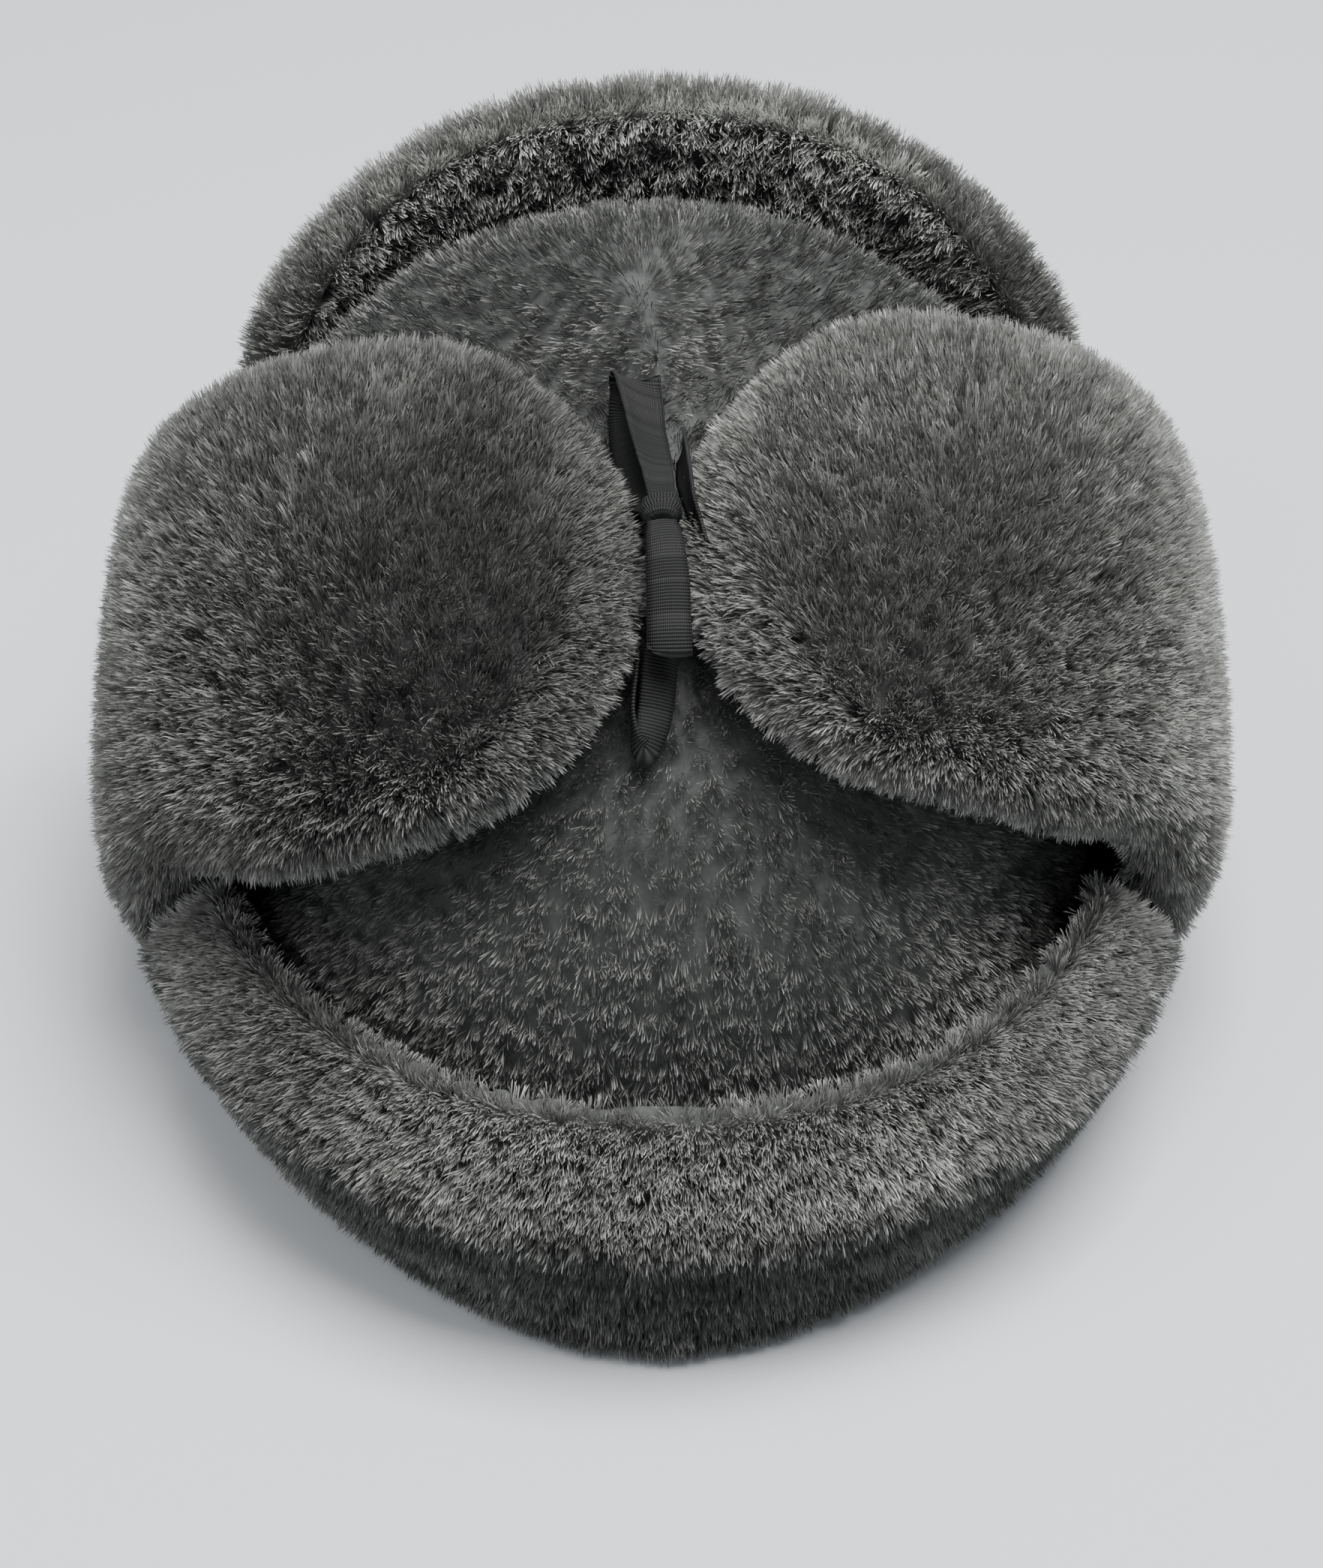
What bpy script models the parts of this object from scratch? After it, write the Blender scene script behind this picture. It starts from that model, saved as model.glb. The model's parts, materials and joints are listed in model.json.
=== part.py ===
"""A winter hat of short grey artificial fur, with its ear flaps turned up and tied over the crown.

The wearer faces -Y, the wearer's left is +X, and the folded rim rests on Z = 0. All sizes are in metres.
The crown is a hollow soft dome. Four thick fur flaps fold up from its rim: a tall one stands in front of it,
a low one runs round the nape, and the two ear flaps lean back over the crown until their round ends meet,
where a black ribbon ties them in a bow.
"""

import math
from collections import namedtuple

import bmesh
import bpy
from mathutils import Quaternion, Vector

# The crown, whose width and reach lead those of the rim and of all flaps
CROWN_HALF_WIDTH = 0.096
CROWN_FRONT_REACH = 0.112
CROWN_BACK_REACH = 0.116
CROWN_FRONT_HEIGHT = 0.155
CROWN_BACK_HEIGHT = 0.136
CROWN_FRONT_SHOULDER = 4.6
CROWN_BACK_SHOULDER = 2.35
CROWN_SLOPE_LENGTH = 0.110
CROWN_SLOPE_MIDDLE = 0.5
CROWN_WALL = 0.010
CROWN_RIM_LIFT = 0.002
PEAK_REACH = 0.035
PANEL_DIP = 0.003
PANEL_SPREAD = 0.060
CROWN_COLUMNS = 64
CROWN_ROWS = 32

# The rim of the opening for the head, drawn in from the crown, whose full width is at the swell height
RIM_SIDE_INSET = 0.006
RIM_FRONT_INSET = 0.008
RIM_BACK_INSET = 0.005
RIM_HALF_WIDTH = CROWN_HALF_WIDTH - RIM_SIDE_INSET
RIM_FRONT_REACH = CROWN_FRONT_REACH - RIM_FRONT_INSET
RIM_BACK_REACH = CROWN_BACK_REACH - RIM_BACK_INSET
SWELL_HEIGHT = 0.055

# How square the plan is: 2 is an ellipse
RIM_BACK_POWER = 1.7
BACK_POWER = 2.15
FRONT_POWER = 2.55

# How deep the flaps are made below the floor, before they are cut flat there
FLOOR_TRIM = 0.003

# What all flaps share
FLAP_GAP = 0.0010
RIM_GAP = 0.0006
FLAP_ROUNDING = 0.013
FLAP_EDGE_SHARE = 0.42
RIM_ROUNDING = 0.009
RIM_SHARE = 0.72

# The flap that stands in front of the forehead
FRONT_THICKNESS = 0.022
FRONT_MIDDLE_HEIGHT = 0.156
FRONT_END_HEIGHT = 0.086
FRONT_END_CLEARANCE = 0.007
FRONT_ARCH_POWER = 2.1
FRONT_SIDE_STAND = 0.007
FRONT_STAND_OUT = 0.0031
FRONT_HALF_WIDTH = CROWN_HALF_WIDTH + FRONT_SIDE_STAND
FRONT_REACH = CROWN_FRONT_REACH + FRONT_STAND_OUT
FRONT_STAND_HEIGHT = 0.235
FRONT_STAND_SHOULDER = 3.0
FOREHEAD_RISE = 0.030
FRONT_ROWS = (26, 10)

# The flap round the nape, which folds inwards over a crease
NAPE_THICKNESS = 0.022
NAPE_HEIGHT = 0.062
NAPE_CREASE_HEIGHT = 0.040
NAPE_OVERHANG = 0.0025
NAPE_EDGE_THICKNESS = 0.004
NAPE_LIFT = 0.011
NAPE_END_GAP = 0.0008
NAPE_END_SLANT = 0.0025
NAPE_SIDE_STAND = 0.003
NAPE_HALF_WIDTH = CROWN_HALF_WIDTH + NAPE_SIDE_STAND
NAPE_STAND_HEIGHT = 0.190
NAPE_ROWS = (28, 9)

# The ear flaps: each is a strip whose edges lie in planes that lean back, and whose end is round
EAR_THICKNESS = 0.0195
EAR_LEAN = math.radians(25)
EAR_BASE_FRONT = -0.055
EAR_FRONT = -0.082
EAR_BACK = 0.017
EAR_BACK_FLARE = 0.018
EAR_TIP_AT = -0.012
EAR_TIP_GAP = 0.0035
EAR_FRONT_ROUNDING = 0.056
EAR_BACK_ROUNDING = 0.042
EAR_SIDE_STAND = 0.0085
EAR_FRONT_STAND = 0.018
EAR_HALF_WIDTH = CROWN_HALF_WIDTH + EAR_SIDE_STAND
EAR_FRONT_REACH = CROWN_FRONT_REACH + EAR_FRONT_STAND
EAR_WRAP_HEIGHT = 0.132
EAR_FRONT_SHOULDER = 5.0
EAR_BACK_SHOULDER = 3.1
LEFT_END_SHIFT = 0.0
RIGHT_END_SHIFT = -0.009
PRESS_MARGIN = 0.010
PRESS_SPAN = 0.018
EAR_ROWS = (20, 18)

Dome = namedtuple(
    "Dome",
    "rim_growth half_width front_reach back_reach front_height back_height front_shoulder back_shoulder",
)
CROWN = Dome(
    0.0,
    CROWN_HALF_WIDTH,
    CROWN_FRONT_REACH,
    CROWN_BACK_REACH,
    CROWN_FRONT_HEIGHT,
    CROWN_BACK_HEIGHT,
    CROWN_FRONT_SHOULDER,
    CROWN_BACK_SHOULDER,
)
PRESSED = CROWN._replace(
    half_width=EAR_HALF_WIDTH,
    front_reach=EAR_FRONT_REACH,
    front_height=EAR_WRAP_HEIGHT,
    back_height=EAR_WRAP_HEIGHT,
    front_shoulder=EAR_FRONT_SHOULDER,
    back_shoulder=EAR_BACK_SHOULDER,
)
EAR_WRAP = PRESSED._replace(
    rim_growth=RIM_GAP,
    half_width=EAR_HALF_WIDTH + FLAP_GAP,
    front_reach=EAR_FRONT_REACH + FLAP_GAP,
    back_reach=CROWN_BACK_REACH + FLAP_GAP,
    front_height=EAR_WRAP_HEIGHT + FLAP_GAP,
    back_height=EAR_WRAP_HEIGHT + FLAP_GAP,
)
FRONT_STAND = CROWN._replace(
    rim_growth=RIM_GAP,
    half_width=FRONT_HALF_WIDTH,
    front_reach=FRONT_REACH,
    front_height=FRONT_STAND_HEIGHT,
    back_height=FRONT_STAND_HEIGHT,
    front_shoulder=FRONT_STAND_SHOULDER,
    back_shoulder=FRONT_STAND_SHOULDER,
)
NAPE_STAND = EAR_WRAP._replace(
    half_width=NAPE_HALF_WIDTH,
    front_height=NAPE_STAND_HEIGHT,
    back_height=NAPE_STAND_HEIGHT,
)

SLICE_NORMAL = Vector((0, math.cos(EAR_LEAN), -math.sin(EAR_LEAN)))
SLICE_UP = Vector((0, math.sin(EAR_LEAN), math.cos(EAR_LEAN)))
FAR = 0.5
HALVINGS = 40
NEARLY_ZERO = 1e-4
CUTTER_SIZE = 1.0

LEFT = 1
RIGHT = -1
END_SHIFTS = {LEFT: LEFT_END_SHIFT, RIGHT: RIGHT_END_SHIFT}

# The ribbon. The route of each piece is a few stops chosen by hand, seen from the knot. To the left and to
# the back they are shares of the upper loop's length, and over the crown they are shares of the knot's rise.
# The ribbon turns about its line there, in degrees, and spreads to a share of its width.
RIBBON_WIDTH = 0.0095
RIBBON_THICKNESS = 0.0009
RIBBON_STEPS = 5
KNOT_BEFORE_TIPS = 0.008
KNOT_RISE = 0.0175
LOOP_LENGTH = 0.0575
KNOT_LENGTH = 0.013
KNOT_WIDTH = 0.0125
KNOT_HEIGHT = 0.0085
KNOT_LEVELS = 2
Stop = namedtuple("Stop", "left back rise turn spread")
UPPER_LOOP = (
    Stop(0.017, -0.104, 1.057, 0, 0.6),
    Stop(0.056, -0.313, 0.800, 8, 0.8),
    Stop(0.104, -0.661, 0.400, 12, 1),
    Stop(0.101, -0.922, 0.354, 8, 1),
    Stop(0.052, -1.000, 0.274, 0, 1),
    Stop(0.017, -0.922, 0.171, -6, 1),
    Stop(0.009, -0.661, 0.126, -6, 1),
    Stop(0.009, -0.313, 0.457, -4, 0.8),
    Stop(0.000, -0.104, 0.886, 0, 0.6),
)
LOWER_LOOP = (
    Stop(0.000, 0.104, 1.057, 0, 0.6),
    Stop(-0.017, 0.243, 1.114, 4, 0.85),
    Stop(-0.026, 0.435, 1.086, 6, 0.9),
    Stop(-0.026, 0.496, 0.983, 6, 0.9),
    Stop(-0.021, 0.435, 0.903, 4, 0.85),
    Stop(-0.014, 0.243, 0.914, 0, 0.8),
    Stop(0.000, 0.104, 0.903, 0, 0.6),
)
RIGHT_END = (
    Stop(-0.092, -0.591, 0.371, 0, 0.9),
    Stop(-0.083, -0.452, 0.514, 0, 0.8),
    Stop(-0.080, -0.278, 0.800, 0, 0.7),
    Stop(-0.070, -0.108, 0.943, 0, 0.6),
)
LEFT_END = (
    Stop(0.000, 0.035, 0.400, 0, 0.8),
    Stop(-0.014, 0.209, 0.389, 0, 0.8),
    Stop(-0.007, 0.400, 0.371, 0, 0.8),
    Stop(0.070, 0.565, 0.320, 0, 0.8),
    Stop(0.180, 0.609, 0.280, 0, 0.8),
)


FUR_GREY = (0.115, 0.118, 0.112, 1)
CROWN_GREY = (0.085, 0.09, 0.086, 1)
RIBBON_BLACK = (0.012, 0.012, 0.013, 1)


def smooth(share):
    """0 up to 0, 1 from 1 on, and an even curve between."""
    share = min(max(share, 0.0), 1.0)
    return share * share * (3 - 2 * share)


def between(first, last, share):
    return first + (last - first) * share


def even_ends(share):
    """Draws the rows of a sheet together towards its edges."""
    return (1 - math.cos(math.pi * share)) / 2


def rounded(room, radius, least):
    """The share of its thickness that a flap has at some distance from a round edge of this radius."""
    inside = min(max(room / radius, 0.0), 1.0)
    return between(least, 1.0, math.sqrt(1 - (1 - inside) ** 2))


def fullness(dome, point):
    """Below 1 inside a dome, 1 on it and above 1 outside."""
    swell = smooth(point.z / SWELL_HEIGHT)
    half_width = between(RIM_HALF_WIDTH + dome.rim_growth, dome.half_width, swell)
    if point.y > 0:
        reach = between(RIM_BACK_REACH + dome.rim_growth, dome.back_reach, swell)
        power = between(RIM_BACK_POWER, BACK_POWER, swell)
    else:
        reach = between(RIM_FRONT_REACH + dome.rim_growth, dome.front_reach, swell)
        power = FRONT_POWER
    forward = smooth(CROWN_SLOPE_MIDDLE - point.y / CROWN_SLOPE_LENGTH)
    height = between(dome.back_height, dome.front_height, forward)
    shoulder = between(dome.back_shoulder, dome.front_shoulder, forward)
    plan = (abs(point.x) / half_width) ** power + (abs(point.y) / reach) ** power
    return plan ** (shoulder / power) + (abs(point.z) / height) ** shoulder


def on_dome(dome, start, way):
    """Where a ray from inside a dome meets it."""
    near, far = 0.0, FAR
    for _ in range(HALVINGS):
        middle = (near + far) / 2
        if fullness(dome, start + way * middle) < 1:
            near = middle
        else:
            far = middle
    return start + way * near


def level_of(point):
    """How a point lies from the upright axis through the middle of the rim."""
    return Vector((point.x, point.y, 0))


def slice_of(point):
    """How far back a point lies, measured square to the leaning planes of the ear flaps."""
    return point.dot(SLICE_NORMAL)


def ear_round(beyond_tip):
    """How far the round end of an ear flap spreads from its tip, before or behind it, and how deep it is."""
    if beyond_tip < 0:
        return EAR_TIP_AT - EAR_FRONT, EAR_FRONT_ROUNDING
    return EAR_BACK + EAR_BACK_FLARE - EAR_TIP_AT, EAR_BACK_ROUNDING


def ear_end(side, across_share):
    """A point of the round end, from its front to its back: its slice, and its distance from the middle."""
    turn = math.pi * across_share
    spread, depth = ear_round(-math.cos(turn))
    across = EAR_TIP_AT - spread * math.cos(turn) + END_SHIFTS[side]
    return across, EAR_TIP_GAP + depth * (1 - math.sin(turn))


def ear_corner(across, height):
    """The point of the wrap surface in one slice at one height, on the wearer's left."""
    y = (across + height * math.sin(EAR_LEAN)) / math.cos(EAR_LEAN)
    return on_dome(EAR_WRAP, Vector((0, y, height)), Vector((1, 0, 0)))


def angle_from_front(point):
    return math.atan2(abs(point.x), -point.y)


def angle_from_back(point):
    return math.atan2(abs(point.x), point.y)


EAR_FRONT_FOOT = ear_corner(EAR_BASE_FRONT, 0.0)
EAR_BACK_FOOT = ear_corner(EAR_BACK, 0.0)
FRONT_END_ANGLE = angle_from_front(EAR_FRONT_FOOT) - FRONT_END_CLEARANCE / EAR_FRONT_FOOT.length


def rim_height(point):
    """The rim is raised over the forehead, and a little between the nape and each ear."""
    front = angle_from_front(point) / FRONT_END_ANGLE
    if front < 1:
        return FOREHEAD_RISE * math.cos(front * math.pi / 2) ** 2
    back = angle_from_back(point) / angle_from_back(EAR_BACK_FOOT)
    if back < 1:
        return NAPE_LIFT * math.sin(back * math.pi) ** 2
    return 0.0


def under_ear_flaps(point):
    """1 where an ear flap presses on the crown, falling to 0 beside it."""
    beyond_tip = slice_of(point) - EAR_TIP_AT - END_SHIFTS[LEFT if point.x > 0 else RIGHT]
    spread, depth = ear_round(beyond_tip)
    inward = max(1 - (abs(point.x) - EAR_TIP_GAP) / depth, 0.0)
    beside = (math.hypot(inward, beyond_tip / spread) - 1) * min(spread, depth)
    return 1 - smooth((beside - PRESS_MARGIN) / PRESS_SPAN)


def crown_reach(way):
    """How far the crown's outside lies from the middle of the rim, in one direction."""
    free = on_dome(CROWN, Vector(), way)
    pressed = on_dome(PRESSED, Vector(), way)
    from_peak = free - Vector((0, -PEAK_REACH, free.z))
    panel = math.sin(2 * math.atan2(from_peak.x, from_peak.y)) ** 2
    dip = PANEL_DIP * panel * smooth(from_peak.length / PANEL_SPREAD) * smooth(free.z / CROWN_BACK_HEIGHT)
    sunk = under_ear_flaps(pressed) * max(free.length - dip - pressed.length, 0.0)
    return free.length - dip - sunk


def crown_point(azimuth, rise):
    """A point of the crown's outside, at a share of the way up from its rim."""
    level = Vector((math.cos(azimuth), math.sin(azimuth), 0))
    foot = on_dome(CROWN, Vector((0, 0, rim_height(level) + CROWN_RIM_LIFT)), level)
    lowest = math.atan2(foot.z, math.hypot(foot.x, foot.y))
    elevation = between(lowest, math.pi / 2, rise)
    way = level * math.cos(elevation) + Vector((0, 0, math.sin(elevation)))
    return way * crown_reach(way)


def above_crown(left, back, rise):
    """The point at some height over the crown's outside."""
    low, high = CROWN_BACK_HEIGHT / 2, FAR
    for _ in range(HALVINGS):
        middle = Vector((left, back, (low + high) / 2))
        if middle.length < crown_reach(middle.normalized()):
            low = middle.z
        else:
            high = middle.z
    return Vector((left, back, low + rise))


def ear_point(side, across_share, along_share):
    """A point of an ear flap's inner face: across from its front edge, and along from the rim to its end."""
    shift = END_SHIFTS[side] * smooth(along_share)
    front = between(EAR_BASE_FRONT, EAR_FRONT, smooth(2 * along_share)) + shift
    back = EAR_BACK + EAR_BACK_FLARE * smooth(2 * along_share - 1) + shift
    foot = ear_corner(between(EAR_BASE_FRONT, EAR_BACK, even_ends(across_share)), -FLOOR_TRIM)
    end_across, end_x = ear_end(side, across_share)
    end = on_dome(EAR_WRAP, SLICE_NORMAL * end_across + Vector((end_x, 0, 0)), SLICE_UP)
    first, last = (math.atan2(p.dot(SLICE_UP), p.x) for p in (foot, end))
    angle = between(first, last, along_share)
    strip = between(front, back, even_ends(across_share))
    across = between(strip, end_across, smooth(2 * along_share - 1))
    way = Vector((math.cos(angle), 0, 0)) + SLICE_UP * math.sin(angle)
    point = on_dome(EAR_WRAP, SLICE_NORMAL * across, way)
    return Vector((side * point.x, point.y, point.z))


def front_point(around_share, up_share):
    """A point of the front flap's inner face: around from one temple to the other, and up from the rim."""
    around = 1 - 2 * even_ends(around_share)
    angle = FRONT_END_ANGLE * around
    level = Vector((math.sin(angle), -math.cos(angle), 0))
    bottom = rim_height(level) - FLOOR_TRIM
    arch = math.sqrt(1 - abs(around) ** FRONT_ARCH_POWER)
    top = between(FRONT_END_HEIGHT, FRONT_MIDDLE_HEIGHT, arch)
    return on_dome(FRONT_STAND, Vector((0, 0, between(bottom, top, even_ends(up_share)))), level)


def nape_point(around_share, up_share):
    """A point of the nape flap's inner face: around from one ear flap to the other, and up from the rim."""
    end = ear_corner(EAR_BACK + NAPE_END_GAP + NAPE_END_SLANT * up_share**2, NAPE_HEIGHT * up_share)
    angle = angle_from_back(end) * (2 * around_share - 1)
    level = Vector((math.sin(angle), math.cos(angle), 0))
    bottom = rim_height(level) - FLOOR_TRIM
    return on_dome(NAPE_STAND, Vector((0, 0, between(bottom, NAPE_HEIGHT, up_share))), level)


def ear_thickness(across_share, along_share):
    width = EAR_BACK - EAR_FRONT
    length = EAR_HALF_WIDTH + EAR_WRAP_HEIGHT - EAR_TIP_GAP
    free = smooth((along_share * length - NAPE_CREASE_HEIGHT) / NAPE_CREASE_HEIGHT)
    room_back = (1 - even_ends(across_share)) * width + FLAP_ROUNDING * (1 - free)
    room = min(even_ends(across_share) * width, room_back, (1 - along_share) * length)
    edge = rounded(room, FLAP_ROUNDING, FLAP_EDGE_SHARE)
    return min(edge, rounded(along_share * length, RIM_ROUNDING, RIM_SHARE))


def front_thickness(around_share, up_share):
    width = 2 * FRONT_END_ANGLE * CROWN_FRONT_REACH
    height = FRONT_MIDDLE_HEIGHT - FOREHEAD_RISE
    around = even_ends(around_share)
    up = even_ends(up_share)
    room = min(around * width, (1 - around) * width, (1 - up) * height)
    edge = rounded(room, FLAP_ROUNDING, FLAP_EDGE_SHARE)
    return min(edge, rounded(up * height, RIM_ROUNDING, RIM_SHARE))


def nape_thickness(around_share, up_share):
    height = NAPE_HEIGHT * up_share
    lean = (height - NAPE_CREASE_HEIGHT) / (NAPE_HEIGHT - NAPE_CREASE_HEIGHT)
    if lean < 0:
        return rounded(height, RIM_ROUNDING, RIM_SHARE) - NAPE_OVERHANG / NAPE_THICKNESS
    return between(1.0, NAPE_EDGE_THICKNESS / NAPE_THICKNESS, lean)


def material(name, colour, roughness):
    made = bpy.data.materials.new(name)
    made.use_nodes = True
    shader = made.node_tree.nodes["Principled BSDF"]
    shader.inputs["Base Color"].default_value = colour
    shader.inputs["Roughness"].default_value = roughness
    return made


def object_of(name, bm, finish, collection):
    mesh = bpy.data.meshes.new(name)
    bm.to_mesh(mesh)
    bm.free()
    mesh.materials.append(finish)
    mesh.shade_smooth()
    made = bpy.data.objects.new(name, mesh)
    collection.objects.link(made)
    return made


def flap(name, place, thickness_at, rows, thickness, cutter, finish, collection):
    """A thick fur sheet: a grid laid on its inner face by place, and thickened outwards with round edges."""
    across, along = rows
    bm = bmesh.new()
    bmesh.ops.create_grid(bm, x_segments=across, y_segments=along, size=0.5)
    shares = []
    for vertex in bm.verts:
        u, v = vertex.co.x + 0.5, vertex.co.y + 0.5
        shares.append(thickness_at(u, v))
        vertex.co = place(u, v)
    bm.normal_update()
    if sum(face.normal.dot(level_of(face.calc_center_median())) for face in bm.faces) < 0:
        bmesh.ops.reverse_faces(bm, faces=bm.faces)
    made = object_of(name, bm, finish, collection)
    group = made.vertex_groups.new(name="thickness")
    for index, share in enumerate(shares):
        group.add([index], share, "REPLACE")
    shell = made.modifiers.new("thickness", "SOLIDIFY")
    shell.thickness = thickness
    shell.offset = 1
    shell.vertex_group = group.name
    trim = made.modifiers.new("flat_rim", "BOOLEAN")
    trim.operation = "DIFFERENCE"
    trim.object = cutter
    return made


def crown(finish, collection):
    """The soft dome: half a sphere moved onto the crown's outside, with its wall inside that."""
    bm = bmesh.new()
    bmesh.ops.create_uvsphere(bm, u_segments=CROWN_COLUMNS, v_segments=CROWN_ROWS, radius=1)
    below = [vertex for vertex in bm.verts if vertex.co.z < -NEARLY_ZERO]
    bmesh.ops.delete(bm, geom=below, context="VERTS")
    for vertex in bm.verts:
        rise = math.asin(min(max(vertex.co.z, 0.0), 1.0)) / (math.pi / 2)
        vertex.co = crown_point(math.atan2(vertex.co.y, vertex.co.x), rise)
    bmesh.ops.recalc_face_normals(bm, faces=bm.faces)
    made = object_of("crown", bm, finish, collection)
    shell = made.modifiers.new("wall", "SOLIDIFY")
    shell.thickness = CROWN_WALL
    shell.offset = -1
    return made


def ribbon_line(stops, knot):
    """A smooth line through a ribbon's stops: its points, each with the ribbon's turn and spread there."""
    places = []
    for stop in stops:
        left, back = knot.x + stop.left * LOOP_LENGTH, knot.y + stop.back * LOOP_LENGTH
        places.append(above_crown(left, back, stop.rise * KNOT_RISE))
    ends = [places[0] * 2 - places[1], *places, places[-1] * 2 - places[-2]]
    line = []
    for at, (stop, following) in enumerate(zip(stops, stops[1:])):
        before, start, end, after = ends[at : at + 4]
        for step in range(RIBBON_STEPS):
            share = step / RIBBON_STEPS
            bend = 2 * before - 5 * start + 4 * end - after
            twist = 3 * start - before - 3 * end + after
            point = start + (share * (end - before) + share**2 * bend + share**3 * twist) / 2
            turn = between(stop.turn, following.turn, share)
            line.append((point, turn, between(stop.spread, following.spread, share)))
    return [*line, (places[-1], stops[-1].turn, stops[-1].spread)]


def ribbon(name, stops, knot, side, finish, collection):
    """A strip of ribbon along its line, its width along side apart from a small turn."""
    line = ribbon_line(stops, knot)
    bm = bmesh.new()
    rows = []
    for at, (point, turn, spread) in enumerate(line):
        along = (line[min(at + 1, len(line) - 1)][0] - line[max(at - 1, 0)][0]).normalized()
        across = (side - along * side.dot(along)).normalized()
        across.rotate(Quaternion(along, math.radians(turn)))
        across *= RIBBON_WIDTH * spread / 2
        rows.append([bm.verts.new(point - across), bm.verts.new(point + across)])
    for one, other in zip(rows, rows[1:]):
        bm.faces.new((one[0], one[1], other[1], other[0]))
    made = object_of(name, bm, finish, collection)
    shell = made.modifiers.new("thickness", "SOLIDIFY")
    shell.thickness = RIBBON_THICKNESS
    shell.offset = 0
    return made


def tie_knot(knot, finish, collection):
    """The pinched wrap of ribbon in the middle of the bow."""
    bm = bmesh.new()
    bmesh.ops.create_cube(bm, size=1)
    for vertex in bm.verts:
        vertex.co = Vector((vertex.co.x * KNOT_WIDTH, vertex.co.y * KNOT_LENGTH, vertex.co.z * KNOT_HEIGHT))
    made = object_of("tie_knot", bm, finish, collection)
    made.location = knot
    soft = made.modifiers.new("soft", "SUBSURF")
    soft.levels = KNOT_LEVELS
    soft.render_levels = KNOT_LEVELS
    return made


def floor_cutter():
    """A slab that ends at the floor, which cuts the folded rim flat."""
    bm = bmesh.new()
    bmesh.ops.create_cube(bm, size=CUTTER_SIZE)
    made = bpy.data.objects.new("floor_cutter", bpy.data.meshes.new("floor_cutter"))
    bm.to_mesh(made.data)
    bm.free()
    made.location = (0, 0, -CUTTER_SIZE / 2)
    made.hide_render = True
    made.display_type = "WIRE"
    cutters = bpy.data.collections.new("cutters")
    bpy.context.scene.collection.children.link(cutters)
    cutters.objects.link(made)
    return made


def main():
    for old in list(bpy.data.objects):
        bpy.data.objects.remove(old)
    collection = bpy.data.collections.new("ushanka")
    bpy.context.scene.collection.children.link(collection)
    fur = material("flap_fur", FUR_GREY, 0.9)
    crown_fur = material("crown_fur", CROWN_GREY, 0.9)
    black = material("ribbon", RIBBON_BLACK, 0.6)
    cutter = floor_cutter()
    crown(crown_fur, collection)
    flap("front_flap", front_point, front_thickness, FRONT_ROWS, FRONT_THICKNESS, cutter, fur, collection)
    flap("nape_flap", nape_point, nape_thickness, NAPE_ROWS, NAPE_THICKNESS, cutter, fur, collection)
    for name, side in (("ear_flap_left", LEFT), ("ear_flap_right", RIGHT)):

        def place(across_share, along_share, side=side):
            return ear_point(side, across_share, along_share)

        flap(name, place, ear_thickness, EAR_ROWS, EAR_THICKNESS, cutter, fur, collection)
    tips = on_dome(EAR_WRAP, SLICE_NORMAL * (EAR_TIP_AT - KNOT_BEFORE_TIPS), SLICE_UP)
    knot = above_crown(0, tips.y, KNOT_RISE)
    flat, on_edge = Vector((1, 0, 0)), Vector((0, 0, 1))
    tie_knot(knot, black, collection)
    ribbon("tie_loop_upper", UPPER_LOOP, knot, flat, black, collection)
    ribbon("tie_loop_lower", LOWER_LOOP, knot, flat, black, collection)
    ribbon("tie_end_right", RIGHT_END, knot, on_edge, black, collection)
    ribbon("tie_end_left", LEFT_END, knot, on_edge, black, collection)


main()
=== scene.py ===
# %% [markdown]
# # A hat of short artificial fur, tied up for a mild day
#
# This lesson dresses a plain model of a winter hat: a dome of fur panels, four thick flaps that fold up
# from its rim, and a black ribbed ribbon that ties the two ear flaps over the top. The plain solids come
# from the packed frame. They give the outer form of the pile, so every piece below is fitted inside them.

# %% Load the frame
import json
import math
import random
from collections import namedtuple

import bmesh
import bpy
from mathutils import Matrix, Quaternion, Vector, noise
from mathutils.bvhtree import BVHTree

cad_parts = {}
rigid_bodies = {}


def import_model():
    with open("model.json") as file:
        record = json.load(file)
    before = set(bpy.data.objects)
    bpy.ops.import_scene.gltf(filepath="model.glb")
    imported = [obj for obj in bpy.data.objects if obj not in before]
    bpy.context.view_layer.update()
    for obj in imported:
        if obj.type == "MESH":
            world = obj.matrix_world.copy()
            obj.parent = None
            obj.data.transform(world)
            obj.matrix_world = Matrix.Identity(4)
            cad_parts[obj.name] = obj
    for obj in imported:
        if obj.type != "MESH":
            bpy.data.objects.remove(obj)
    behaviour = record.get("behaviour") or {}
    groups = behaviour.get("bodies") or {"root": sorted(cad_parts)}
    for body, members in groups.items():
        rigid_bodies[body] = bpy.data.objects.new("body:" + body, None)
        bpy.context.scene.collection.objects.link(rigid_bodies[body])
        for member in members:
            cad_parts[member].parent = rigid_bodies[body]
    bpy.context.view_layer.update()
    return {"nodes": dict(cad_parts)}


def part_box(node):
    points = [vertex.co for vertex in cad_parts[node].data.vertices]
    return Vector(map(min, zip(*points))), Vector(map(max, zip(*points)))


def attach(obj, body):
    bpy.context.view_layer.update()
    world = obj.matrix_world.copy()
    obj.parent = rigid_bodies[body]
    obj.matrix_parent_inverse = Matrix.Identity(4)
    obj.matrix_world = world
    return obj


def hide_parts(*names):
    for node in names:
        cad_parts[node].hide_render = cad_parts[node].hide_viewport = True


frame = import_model()

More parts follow.
